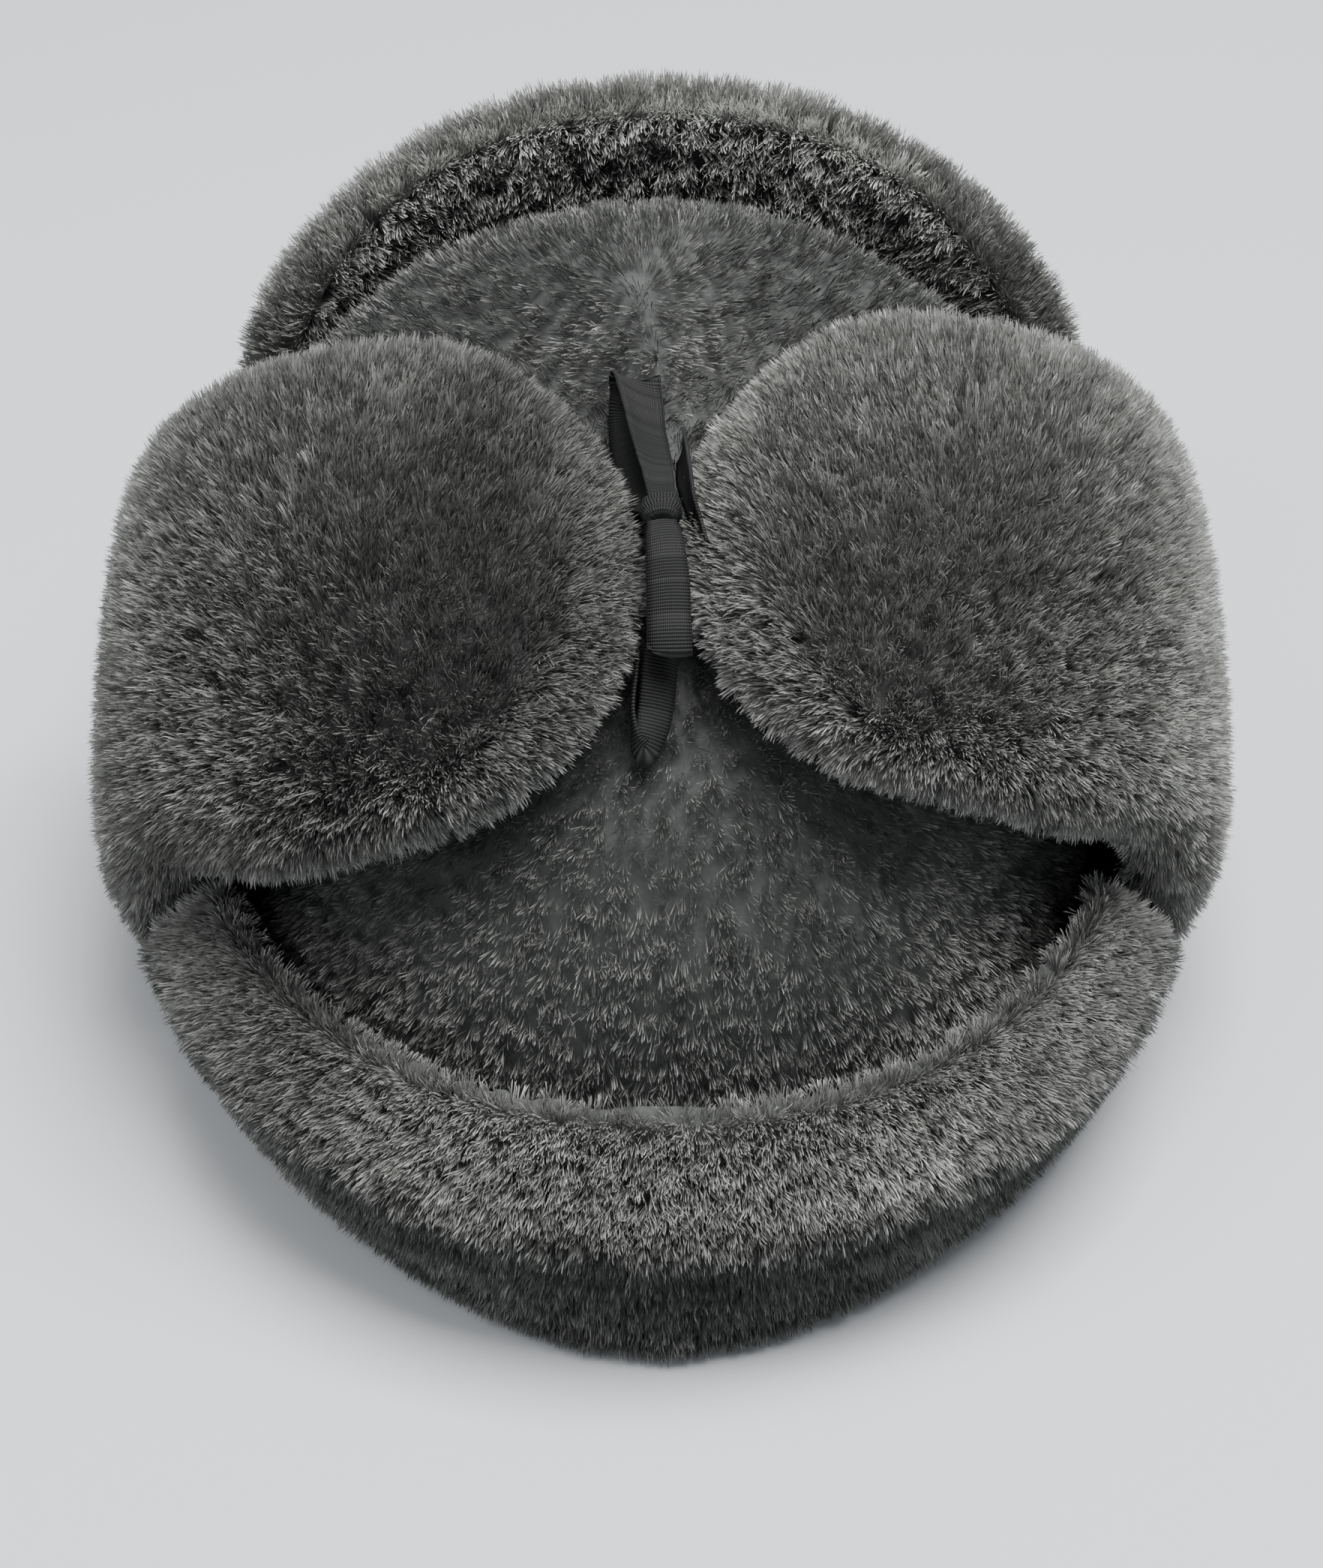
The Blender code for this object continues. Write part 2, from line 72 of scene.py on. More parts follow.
# %% [markdown]
# ## The camera
#
# The photo looks at the back of the hat from above. The picture is tall, so the sensor's 36 mm lie along
# its height. A camera that turns to a target is easiest to fit: only its height angle, distance and lens
# remain.

# %% Place the camera
CAMERA_ELEVATION = math.radians(40)
CAMERA_DISTANCE = 0.80
CAMERA_LENS = 82
TARGET = Vector((0, 0, 0.045))


def add_object(name, data):
    made = bpy.data.objects.new(name, data)
    bpy.context.scene.collection.objects.link(made)
    return made


def place_camera():
    camera = add_object("camera", bpy.data.cameras.new("camera"))
    back_and_up = Vector((0, math.cos(CAMERA_ELEVATION), math.sin(CAMERA_ELEVATION)))
    camera.location = TARGET + back_and_up * CAMERA_DISTANCE
    camera.rotation_euler = (-back_and_up).to_track_quat("-Z", "Y").to_euler()
    camera.data.lens = CAMERA_LENS
    bpy.context.scene.camera = camera
    return camera


print("the camera stands", round(place_camera().location.z, 2), "m above the floor")

# %% [markdown]
# ## Shader maths that reads like maths
#
# Every finish below mixes a few patterns. Linking Math nodes by hand hides what they work out, so a small
# class wraps a shader socket and knows plus and times, and `ribs * 0.5 + 0.5` adds the nodes by itself. Any
# other node comes from one method.

# %% Wrap a shader socket


def socket_called(node, name):
    """An input by its name in lower case with underscores, or by its number as in input_3."""
    if name.startswith("input_"):
        return node.inputs[int(name[len("input_"):])]
    return next(socket for socket in node.inputs if socket.name.lower().replace(" ", "_") == name)


def plug(tree, socket, value):
    """Links a wire to a socket, or sets the socket to a plain value."""
    if isinstance(value, Wire):
        tree.links.new(value.socket, socket)
    else:
        socket.default_value = value


class Wire:
    """A socket of one material's node tree."""

    def __init__(self, tree, socket):
        self.tree = tree
        self.socket = socket

    def node(self, kind, settings=(), output=0, **inputs):
        """Adds a node, sets its settings first, then fills its sockets by name."""
        made = self.tree.nodes.new(kind)
        for name, value in dict(settings).items():
            setattr(made, name, value)
        for name, value in inputs.items():
            plug(self.tree, socket_called(made, name), value)
        return Wire(self.tree, made.outputs[output])

    def math(self, operation, other=0.0, flipped=False):
        first, second = (other, self) if flipped else (self, other)
        return self.node("ShaderNodeMath", {"operation": operation}, input_0=first, input_1=second)

    def __add__(self, other):
        return self.math("ADD", other)

    def __radd__(self, other):
        return self.math("ADD", other, flipped=True)

    def __mul__(self, other):
        return self.math("MULTIPLY", other)

    def __rmul__(self, other):
        return self.math("MULTIPLY", other, flipped=True)


print("a wire can", [name for name in vars(Wire) if callable(getattr(Wire, name))])

# %% [markdown]
# ## A material to start from
#
# Fur, cloth, ribbon and floor are all one Principled shader. What is the same all over a surface is a plain
# number on the shader's own socket. What varies is plugged in afterwards.

# %% Start a material


def new_material(name, roughness, **constants):
    """A new material, its shader, and a wire that adds nodes to it."""
    made = bpy.data.materials.new(name)
    made.use_nodes = True
    shader = made.node_tree.nodes["Principled BSDF"]
    shader.inputs["Roughness"].default_value = roughness
    for socket, value in constants.items():
        shader.inputs[socket.replace("_", " ")].default_value = value
    return made, shader, Wire(made.node_tree, None)


def mix_colours(wire, share, dark, light):
    """A colour between two, each a wire or a plain colour."""
    return wire.node(
        "ShaderNodeMix", {"data_type": "RGBA"}, output=2, input_0=share, input_6=dark, input_7=light
    )


def colour(red, green, blue):
    return (red, green, blue, 1)


print("a plain grey is", colour(0.5, 0.5, 0.5))

# %% [markdown]
# ## The grey of the fur
#
# The pile is a grey plush: dark at its roots, lighter at its tips, with a few hairs painted pale as glints,
# a painted highlight. A texture over the whole hat would look painted on. So each tuft gets one tint, random
# and carrying the painted light and shade of its place, kept in the width of its UV map, while the height of
# the map runs from root to tip. A blade then needs no more than two numbers, and the colours follow the fur
# from every side.

# %% Make the fur finishes
ROOT_COLOUR = colour(0.050, 0.053, 0.051)
DARK_TIP = (0.055, 0.058, 0.054)
LIGHT_TIP = (0.46, 0.462, 0.435)
# The painted glint: a few blades take this pale colour, a painted highlight where light glints off the
# hairs.
PAINTED_GLINT_COLOUR = colour(0.80, 0.81, 0.77)
PAINTED_GLINT_FROM = 0.86
PAINTED_GLINT_STEP = 0.02
CROWN_SHADE = 0.96


def make_fur(name, shade=1.0):
    """Fur whose tint is the map's width and whose root to tip is its height. shade is painted shade that
    darkens a whole piece.
    """
    made, shader, wire = new_material(name, roughness=0.38, Specular_IOR_Level=0.6)
    place = wire.node("ShaderNodeUVMap", {"uv_map": "OFBake"})
    tint = wire.node("ShaderNodeSeparateXYZ", vector=place)
    height = wire.node("ShaderNodeSeparateXYZ", output=1, vector=place)
    painted_glint = wire.node("ShaderNodeMapRange", value=tint, from_min=PAINTED_GLINT_FROM, from_max=PAINTED_GLINT_FROM + PAINTED_GLINT_STEP)
    dark_tip, light_tip = ((*(share * shade for share in tip), 1) for tip in (DARK_TIP, LIGHT_TIP))
    tip = mix_colours(wire, painted_glint, mix_colours(wire, tint, dark_tip, light_tip), PAINTED_GLINT_COLOUR)
    soft = {"interpolation_type": "SMOOTHSTEP"}
    lit = wire.node("ShaderNodeMapRange", soft, value=height, from_min=0.10, from_max=0.88)
    plug(made.node_tree, shader.inputs["Base Color"], mix_colours(wire, lit, ROOT_COLOUR, tip))
    return made


FLAP_FUR = make_fur("flap_fur")
# The crown's fur is a darker copy of the flaps' fur: painted shade, as the crown lies in the flaps' shade.
CROWN_FUR = make_fur("crown_fur", CROWN_SHADE)
print("made", FLAP_FUR.name, "and", CROWN_FUR.name)

# %% [markdown]
# ## The cloth under the fur
#
# The pile is knitted into a ground that shows between the tufts and on the walls that carry no pile. It is
# nearly as dark as the roots, so that a gap between tufts looks deep and not bare. It lines the hollow for
# the head too, as no lining shows in the photo. A fine noise is enough for its grain, as no loop of the
# knit can be seen.

# %% Make the backing cloth
CLOTH_DARK = colour(0.050, 0.053, 0.051)
CLOTH_LIGHT = colour(0.090, 0.093, 0.089)


def make_backing():
    made, shader, wire = new_material("backing", roughness=0.95, Sheen_Weight=0.1)
    place = wire.node("ShaderNodeTexCoord", output=3)
    grain = wire.node("ShaderNodeTexNoise", vector=place, scale=900.0, detail=2.0)
    plug(made.node_tree, shader.inputs["Base Color"], mix_colours(wire, grain, CLOTH_DARK, CLOTH_LIGHT))
    bump = wire.node("ShaderNodeBump", height=grain, strength=0.4, distance=0.0004)
    plug(made.node_tree, shader.inputs["Normal"], bump)
    return made


BACKING = make_backing()
print("made", BACKING.name)

# %% [markdown]
# ## The soft body of each piece
#
# A flap is a padded sheet under its pile. The plain solid gives the outside of the pile, so the padding is
# the same form moved inwards by the pile's depth. A cloth simulation would swell it past the solid again. A
# voxel remesh instead makes an even skin of small squares from the solid's long triangles, ready to be
# moved.

# %% Remesh a solid into a skin
RELAX = 0.5
RELAX_STEPS = 2
MERGE_WITHIN = 1e-6


def smooth(share):
    share = min(max(share, 0.0), 1.0)
    return share * share * (3 - 2 * share)


def fade(value, start, width):
    """0 up to start, 1 from start + width on, with a soft step between."""
    return smooth((value - start) / width)


def between(first, last, share):
    return first + (last - first) * share


def mesh_from(bm, name):
    mesh = bpy.data.meshes.new(name)
    bm.to_mesh(mesh)
    bm.free()
    return mesh


def copy_of(node):
    """A merged copy of a packed solid, as a mesh of its own."""
    bm = bmesh.new()
    bm.from_mesh(frame["nodes"][node].data)
    bmesh.ops.remove_doubles(bm, verts=bm.verts, dist=MERGE_WITHIN)
    return mesh_from(bm, node + "_copy")


def tree_of(*nodes):
    """A search tree over the faces of some packed solids."""
    bm = bmesh.new()
    for node in nodes:
        bm.from_mesh(frame["nodes"][node].data)
    tree = BVHTree.FromBMesh(bm)
    bm.free()
    return tree


def finished(made):
    """The object with its modifiers applied."""
    bpy.context.view_layer.update()
    graph = bpy.context.evaluated_depsgraph_get()
    mesh = bpy.data.meshes.new_from_object(made.evaluated_get(graph))
    made.modifiers.clear()
    made.data = mesh
    return made


def remeshed(name, node, voxel):
    made = add_object(name, copy_of(node))
    even = made.modifiers.new("even", "REMESH")
    even.mode = "VOXEL"
    even.voxel_size = voxel
    relax = made.modifiers.new("relax", "SMOOTH")
    relax.factor = RELAX
    relax.iterations = RELAX_STEPS
    return finished(made)


CROWN_TREE = tree_of("crown")
print("the crown's solid has", len(frame["nodes"]["crown"].data.polygons), "faces")

# %% [markdown]
# ## Where the pile grows, and how it lies
#
# Plush is brushed, and each panel has its own lie: away from the peak on the crown, over the free edges of
# the flaps, and down at the nape. A comb is a direction worked out from the place alone, which is simpler
# than guide curves and needs no drawing by hand. Faces that lie against the hat grow no pile.

# %% Say where the pile grows
MIDDLE = Vector((0, 0, 0.040))
FURRED_SIDE = (-0.70, 0.35)
CROWN_SIDE = (-0.2, 0.3)
BACK_SHOWS = (0.085, 0.020)
CROWN_FOOT = (0.012, 0.015)


def out_of_hat(point, normal):
    """1 where a face looks away from the hat's middle, -1 where it looks at it."""
    return normal.dot((point - MIDDLE).normalized())


def faces_out(point, normal):
    """1 on the outside of the hat, 0 on the faces that lie against it or line its hollow."""
    return fade(out_of_hat(point, normal), *FURRED_SIDE)


def front_pile(point, normal):
    """The front flap's back shows too, where it stands clear of the crown."""
    return max(faces_out(point, normal), fade(point.z, *BACK_SHOWS))


def crown_pile(point, normal):
    return fade(out_of_hat(point, normal), *CROWN_SIDE) * fade(point.z, *CROWN_FOOT)


print("the front flap's back is furred from", round(BACK_SHOWS[0] * 1000), "mm up")

# %% Comb each piece
PEAK = Vector((0, -0.035, 0.150))
EAR_CENTRE = Vector((0.080, 0.004, 0.090))
EAR_ALONG = Vector((-0.7, 0.25, 0.5)) * 0.6
EAR_EDGE = (0.030, 0.040)
OVER_EDGE = 1.4


def side_of(point):
    return 1 if point.x > 0 else -1


def from_ear_centre(point):
    """From the middle of the ear flap on the point's own side."""
    return point - Vector((EAR_CENTRE.x * side_of(point), EAR_CENTRE.y, EAR_CENTRE.z))


def comb_crown(point):
    """Away from the peak and down."""
    return Vector((point.x - PEAK.x, point.y - PEAK.y, -0.03))


def comb_ear(point):
    """Along the flap towards its round end, and over its edges."""
    away = from_ear_centre(point)
    along = Vector((EAR_ALONG.x * side_of(point), EAR_ALONG.y, EAR_ALONG.z))
    return along + away.normalized() * fade(away.length, *EAR_EDGE) * OVER_EDGE


def comb_nape(point):
    """Outwards over the free edge, and down over the crease and the lower half."""
    return Vector((point.x * 6, point.y * 6, -0.4))


def comb_front(point):
    """Up on both sides, and back over the top edge."""
    return Vector((point.x * 4, 0.35, 0.9))


print("the pile parts round", [round(share * 1000) for share in PEAK], "mm")

# %% [markdown]
# ## Light and dark patches
#
# Real plush is mottled: stroked one way it looks light, the other way dark. An image would fix the patches
# to one view. Two soft noises give them at every place instead, from a hand's breadth down to a finger's.

# %% Mottle the pile
MIDDLE_TONE = 0.44
PATCHES = ((26, 0.15, Vector()), (95, 0.11, Vector((7, 3, 1))))
SIDES = (0.045, 0.040)


def tone_at(point):
    """The tint of the pile in the mottled patches, before a piece's own light."""
    patches = (share * noise.noise(point * scale + shift) for scale, share, shift in PATCHES)
    return MIDDLE_TONE + sum(patches)


def at_a_side(point):
    """0 in the middle of the hat, 1 at its left and right."""
    return fade(abs(point.x), *SIDES)


print("the tint at the peak is", round(tone_at(PEAK), 2))

# %% [markdown]
# ## The light of each flap
#
# On top of the patches each piece has its own painted light and shade. The right ear flap is painted paler,
# and both are painted darker towards their rims. The nape's roll is painted pale, and the band under its
# crease is painted nearly black, as shade. The front flap is painted palest where its back shows over the
# crown. The lamps alone would give less than the real hat shows, because real pile shades itself more than
# loose tufts do.

# %% Say how light the ear flaps and the nape are
# The ear flaps' painted light and shade: the right one is painted paler, and both are painted darker towards
# their rims.
LEFT_EAR, RIGHT_EAR, EAR_BORDER = 0.02, 0.20, -0.13
EAR_RIM = (0.045, 0.035)
# The nape's painted light on its roll and painted shade under its crease.
CREASE_HEIGHT = 0.041
OVER_CREASE = (CREASE_HEIGHT - 0.004, 0.008)
UNDER_CREASE = (0.012, 0.020)
NAPE_FOOT, NAPE_SHADE, NAPE_ROLL = -0.32, -0.48, 0.20
NAPE_FOOT_SIDE, NAPE_ROLL_SIDE = 0.10, -0.20


def ear_light(point, normal):
    own = LEFT_EAR if side_of(point) > 0 else RIGHT_EAR
    return own + EAR_BORDER * fade(from_ear_centre(point).length, *EAR_RIM)


def nape_light(point, normal):
    """Painted light over the crease, and painted shade that is darkest right under it."""
    lower = between(NAPE_FOOT, NAPE_SHADE, fade(point.z, *UNDER_CREASE))
    lower += NAPE_FOOT_SIDE * at_a_side(point)
    roll = NAPE_ROLL + NAPE_ROLL_SIDE * at_a_side(point)
    return between(lower, roll, fade(point.z, *OVER_CREASE))


print("the nape's crease is", round(CREASE_HEIGHT * 1000), "mm above the floor")

# %% Say how light the front flap is
# The front flap's painted light, with less of it towards its sides.
FRONT_FOOT, FRONT_TOP, FRONT_SIDE = 0.12, 0.10, -0.12
FRONT_RISE = (0.10, 0.05)
FRONT_BACK, FRONT_BACK_SIDE = 0.27, -0.34
FACING_BACK = (0.0, 0.6)


def front_light(point, normal):
    """Painted light: lighter at the top, and most of all where its back shows over the crown."""
    back = (FRONT_BACK + FRONT_BACK_SIDE * at_a_side(point)) * fade(normal.y, *FACING_BACK)
    rising = FRONT_TOP * fade(point.z, *FRONT_RISE)
    return FRONT_FOOT + rising + back + FRONT_SIDE * at_a_side(point)


TOP_OF_FRONT = Vector((0, -0.09, 0.15))
print("the front flap's top is lighter by", round(front_light(TOP_OF_FRONT, Vector((0, 1, 0))), 2))

# %% [markdown]
# ## The light of the crown
#
# The crown is darker than the flaps, as it lies in their shade, and this shade is painted into its tint.
# Pale streaks are painted along its four seams to the peak, as highlights where the pile turns over there. A
# wave of the angle round the peak gives four streaks without a seam drawn by hand.

# %% Say how light the crown is
# The crown's painted shade, its painted highlights at the peak's seams, and painted light at its corners.
CROWN_FRONT, CROWN_BACK, CROWN_CORNER = -0.40, -0.29, 0.40
BEHIND, CORNERS = (0.030, 0.040), (0.035, 0.035)
NEAR_PEAK, PEAK_SEAM, PEAK_WIDTH = 0.12, 0.34, 0.050


def crown_light(point, normal):
    """Painted shade over the crown, with painted highlights along the seams that meet in the peak and
    painted light at the corners behind the ear flaps.
    """
    away = point - PEAK
    seam = abs(math.cos(2 * math.atan2(away.x, away.y))) ** 4
    near = 1 - fade(away.length, 0.0, PEAK_WIDTH)
    behind = fade(point.y, *BEHIND)
    corner = fade(abs(point.x), *CORNERS) * behind
    peak = near * (NEAR_PEAK + PEAK_SEAM * seam)
    return between(CROWN_FRONT, CROWN_BACK, behind) + peak + CROWN_CORNER * corner


print("the crown's own light at its peak is", round(crown_light(PEAK, Vector((0, 0, 1))), 2))

# %% [markdown]
# ## A skin under the pile
#
# Each corner of a skin moves in along its normal, by the depth of its pile or by less than half the wall
# where that is thin, and carries what the pile has to know: how much grows, which way is out, how it is
# combed, how light it is and how deep. The corners crowd where a tight edge moves in, so growth rises there
# by as much as the faces shrank. Out is the direction before the move, because the pile's tips have to meet
# the solid's outside, and the moved skin may be folded there.

# %% Fit the skin and mark its pile
GROWTH, OUTWARD, COMB, TONE, DEPTH = "growth", "outward", "comb", "tone", "depth"
MARKS = (
    (GROWTH, "FLOAT"),
    (OUTWARD, "FLOAT_VECTOR"),
    (COMB, "FLOAT_VECTOR"),
    (TONE, "FLOAT"),
    (DEPTH, "FLOAT"),
)
FURRED = ("crown", "front_flap", "nape_flap", "ear_flap_left", "ear_flap_right")
PILE_PROUD = 0.0022
MOST_OF_A_WALL = 0.42
NEIGHBOUR_GAP = 0.002
MOST_CROWDED = 3.5
JUST_OFF = 0.0002
JUST_IN = 0.001
NO_LENGTH = 1e-6
NO_AREA = 1e-12


def areas_at_corners(mesh):
    """The area round each corner of a mesh."""
    areas = [NO_AREA] * len(mesh.vertices)
    for face in mesh.polygons:
        for corner in face.vertices:
            areas[corner] += face.area
    return areas


def along_skin(way, normal):
    """A direction laid flat on the skin."""
    flat = way - normal * way.dot(normal)
    return flat.normalized() if flat.length > NO_LENGTH else Vector()


def fit_skin(node, voxel, grows, comb, light, deep):
    """A skin inside a solid, marked with where its pile grows, how it lies, how light and how deep it is."""
    made = remeshed(node + "_skin", node, voxel)
    mesh = made.data
    own = tree_of(node)
    others = tree_of(*(other for other in FURRED if other != node))
    for mark, kind in MARKS:
        mesh.attributes.new(mark, kind, "POINT")
    growth, outward, lie, tone, depth = (mesh.attributes[mark].data for mark, kind in MARKS)
    normals = [vertex.normal.copy() for vertex in mesh.vertices]
    areas = areas_at_corners(mesh)
    for at, (vertex, normal) in enumerate(zip(mesh.vertices, normals)):
        place = vertex.co.copy()
        share = grows(place, normal)
        if others.ray_cast(place + normal * JUST_OFF, normal, NEIGHBOUR_GAP)[0]:
            share = 0.0
        wall = own.ray_cast(place - normal * JUST_IN, -normal)[3] or 0.0
        room = min(deep, (wall + JUST_IN) * MOST_OF_A_WALL)
        growth[at].value = share
        outward[at].vector = normal
        lie[at].vector = along_skin(comb(place), normal)
        # The tone mark holds the random patches together with each piece's painted light and shade.
        tone[at].value = tone_at(place) + light(place, normal)
        depth[at].value = room * share + PILE_PROUD
        vertex.co = place - normal * (room * share + JUST_OFF)
    mesh.update()
    for at, (before, after) in enumerate(zip(areas, areas_at_corners(mesh))):
        growth[at].value *= min(before / after, MOST_CROWDED)
    mesh.materials.clear()
    mesh.materials.append(BACKING)
    mesh.shade_smooth()
    print(made.name, "has", len(mesh.polygons), "faces")
    return made


print("a skin carries", [mark for mark, kind in MARKS])

# %% [markdown]
# ## One tuft of pile
#
# A tuft is a dozen thin straight blades, one triangle each. Their roots stand close together and their tips
# spread, as in plush that has been stroked. A blade is widest near its tip, because only the last few
# millimetres of the pile show, and its slanted end looks like the ends of a few fibres. Each blade owns a
# narrow strip of the UV map, and one of them is painted so light that it shows as a painted glint in the
# light tufts.

# %% Make a tuft
BLADES = 12
ROOT_SPREAD = 0.0009
TIP_SPREAD = 0.0026
BLADE_WIDTH = 0.00028
WIDE, TALL = (0.7, 1.2), (0.72, 1.0)
AT_ROOT, AT_TIP = (0.2, 1), (0.1, 1)
SLANT = 0.12
TINT_STEP = 0.014
STRIP = 0.004
# A painted highlight: one blade of each tuft is this much lighter, and takes the painted glint colour in the
# light tufts.
GLINT = 0.24
GLINTING_BLADE = 4


def make_tuft():
    """A tuft one unit tall; its spread is in metres, so that a stretch in height leaves it alone."""
    rng = random.Random(5)
    bm = bmesh.new()
    bake = bm.loops.layers.uv.new("OFBake")
    for blade in range(BLADES):
        turn = math.tau * (blade + rng.random() * 0.8) / BLADES
        way = Vector((math.cos(turn), math.sin(turn), 0))
        across = Quaternion((0, 0, 1), rng.uniform(0, math.pi)) @ way
        across *= BLADE_WIDTH * rng.uniform(*WIDE) / 2
        tall = rng.uniform(*TALL)
        root = way * ROOT_SPREAD * rng.uniform(*AT_ROOT)
        tip = way * TIP_SPREAD * rng.uniform(*AT_TIP) + Vector((0, 0, tall))
        low_corner = tip - across - (tip - root) * SLANT
        corners = [bm.verts.new(place) for place in (root, tip + across, low_corner)]
        base = GLINT if blade == GLINTING_BLADE else (blade - BLADES / 2) * TINT_STEP
        face = bm.faces.new(corners)
        for loop, width, height in zip(face.loops, (0.0, STRIP, -STRIP), (0.0, 1.0, 0.9)):
            loop[bake].uv = (base + width, height)
    tuft = add_object("tuft", mesh_from(bm, "tuft"))
    tuft.hide_render = True
    return tuft


TUFT = make_tuft()
print("a tuft has", len(TUFT.data.polygons), "faces")

# %% [markdown]
# ## A helper for Geometry Nodes
#
# Two things repeat on this hat: tufts over a skin, and ribs along a ribbon. Both are Geometry Nodes trees
# with named sizes. This class adds their nodes, so that a tree reads as a list of steps.

# %% Add nodes to a tree


class Grower:
    """A geometry node tree under construction."""

    def __init__(self, name, sizes):
        self.tree = bpy.data.node_groups.new(name, "GeometryNodeTree")
        face = self.tree.interface
        face.new_socket("Geometry", in_out="INPUT", socket_type="NodeSocketGeometry")
        self.ids = {}
        for label, kind, value in sizes:
            socket = face.new_socket(label, in_out="INPUT", socket_type=kind)
            if value is not None:
                socket.default_value = value
            self.ids[label] = socket.identifier
        face.new_socket("Geometry", in_out="OUTPUT", socket_type="NodeSocketGeometry")
        self.source = self.tree.nodes.new("NodeGroupInput")
        self.target = self.tree.nodes.new("NodeGroupOutput")

    def given(self, label):
        return next(socket for socket in self.source.outputs if socket.name == label)

    def add(self, kind, settings=(), **inputs):
        made = self.tree.nodes.new(kind)
        for name, value in dict(settings).items():
            setattr(made, name, value)
        for name, value in inputs.items():
            if name.startswith("input_"):
                socket = made.inputs[int(name[len("input_"):])]
            else:
                enabled = [s for s in made.inputs if s.enabled]
                socket = next(s for s in enabled if s.name.lower().replace(" ", "_") == name)
            if isinstance(value, bpy.types.NodeSocket):
                self.tree.links.new(value, socket)
            else:
                socket.default_value = value
        return made

    def out(self, made, name=None):
        """A node's first used output, or the one called name."""
        return next(s for s in made.outputs if s.enabled and (name is None or s.name == name))

    def math(self, operation, first, second=0.0):
        made = self.add("ShaderNodeMath", {"operation": operation}, input_0=first, input_1=second)
        return self.out(made)

    def vector(self, operation, first, second=None, scale=None):
        given = {"input_0": first}
        if second is not None:
            given["input_1"] = second
        if scale is not None:
            given["input_3"] = scale
        return self.out(self.add("ShaderNodeVectorMath", {"operation": operation}, **given))

    def joined(self, **parts):
        return self.out(self.add("ShaderNodeCombineXYZ", **parts))

    def chance(self, low, high, seed, kind="FLOAT"):
        made = self.add("FunctionNodeRandomValue", {"data_type": kind}, min=low, max=high, seed=seed)
        return self.out(made)

    def read(self, name, kind="FLOAT"):
        return self.out(self.add("GeometryNodeInputNamedAttribute", {"data_type": kind}, name=name))

    def end(self, made):
        """Makes instances real, sets the material and joins the tree's output."""
        real = self.add("GeometryNodeRealizeInstances", geometry=self.out(made))
        dressed = self.add(
            "GeometryNodeSetMaterial", geometry=self.out(real), material=self.given("Material")
        )
        self.tree.links.new(self.out(dressed), self.target.inputs[0])
        return self


print("a grower has", [name for name in vars(Grower) if not name.startswith("_")])

# %% [markdown]
# ## Growing the pile
#
# Real pile is far too dense for a strand system in a mesh that others can open. Scattered tufts of flat
# blades look nearly the same and stay a plain mesh. The tree reads the skin's marks: growth thins the pile
# out where none shows, comb leans it, and a noise ruffles it in clumps of a few millimetres. The instances
# are made real, and each tuft's tint is then added to its strip of the UV map.

# %% Lean a tuft
FUR_SIZES = (
    ("Tuft", "NodeSocketObject", None),
    ("Tufts per Square Metre", "NodeSocketFloat", 500000.0),
    ("Length Spread", "NodeSocketFloat", 0.14),
    ("Lean", "NodeSocketFloat", 0.45),
    ("Ruffle", "NodeSocketFloat", 0.85),
    ("Ruffle Scale", "NodeSocketFloat", 260.0),
    ("Stray", "NodeSocketFloat", 0.36),
    ("Tint Spread", "NodeSocketFloat", 0.17),
    ("Floor", "NodeSocketFloat", 0.0034),
    ("Seed", "NodeSocketInt", 1),
    ("Material", "NodeSocketMaterial", None),
)
TINT_LIMITS = (0.02, 0.95)
MAP_LIMITS = (0.005, 0.995)


def leaning(g):
    """The direction of a tuft: out of the solid, combed, ruffled in clumps and a little astray by itself."""
    where = g.out(g.add("GeometryNodeInputPosition"))
    clumps = g.add("ShaderNodeTexNoise", vector=where, scale=g.given("Ruffle Scale"), detail=1.0)
    swirl = g.vector("SUBTRACT", g.out(clumps, "Color"), (0.5, 0.5, 0.5))
    swirl = g.vector("SCALE", swirl, scale=g.given("Ruffle"))
    own = g.chance((-1.0, -1.0, -1.0), (1.0, 1.0, 1.0), g.given("Seed"), "FLOAT_VECTOR")
    astray = g.vector("SCALE", own, scale=g.given("Stray"))
    comb = g.vector("SCALE", g.read(COMB, "FLOAT_VECTOR"), scale=g.given("Lean"))
    combed = g.vector("ADD", g.read(OUTWARD, "FLOAT_VECTOR"), comb)
    return g.vector("NORMALIZE", g.vector("ADD", combed, g.vector("ADD", swirl, astray)))


def above_floor(g, way, length):
    """Lifts a direction so that a tuft of this length doesn't reach below the floor."""
    root = g.add("ShaderNodeSeparateXYZ", vector=g.out(g.add("GeometryNodeInputPosition")))
    parts = g.add("ShaderNodeSeparateXYZ", vector=way)
    room = g.math("DIVIDE", g.math("SUBTRACT", g.given("Floor"), root.outputs[2]), length)
    lifted = g.math("MINIMUM", g.math("MAXIMUM", parts.outputs[2], room), 1.0)
    reach = g.math("SQRT", g.math("SUBTRACT", 1.0, g.math("MULTIPLY", lifted, lifted)))
    flat = g.joined(x=parts.outputs[0], y=parts.outputs[1])
    level = g.vector("SCALE", g.vector("NORMALIZE", flat), scale=reach)
    return g.vector("ADD", level, g.joined(z=lifted))


print("the fur tree takes", len(FUR_SIZES), "inputs")

# %% Build the fur tree


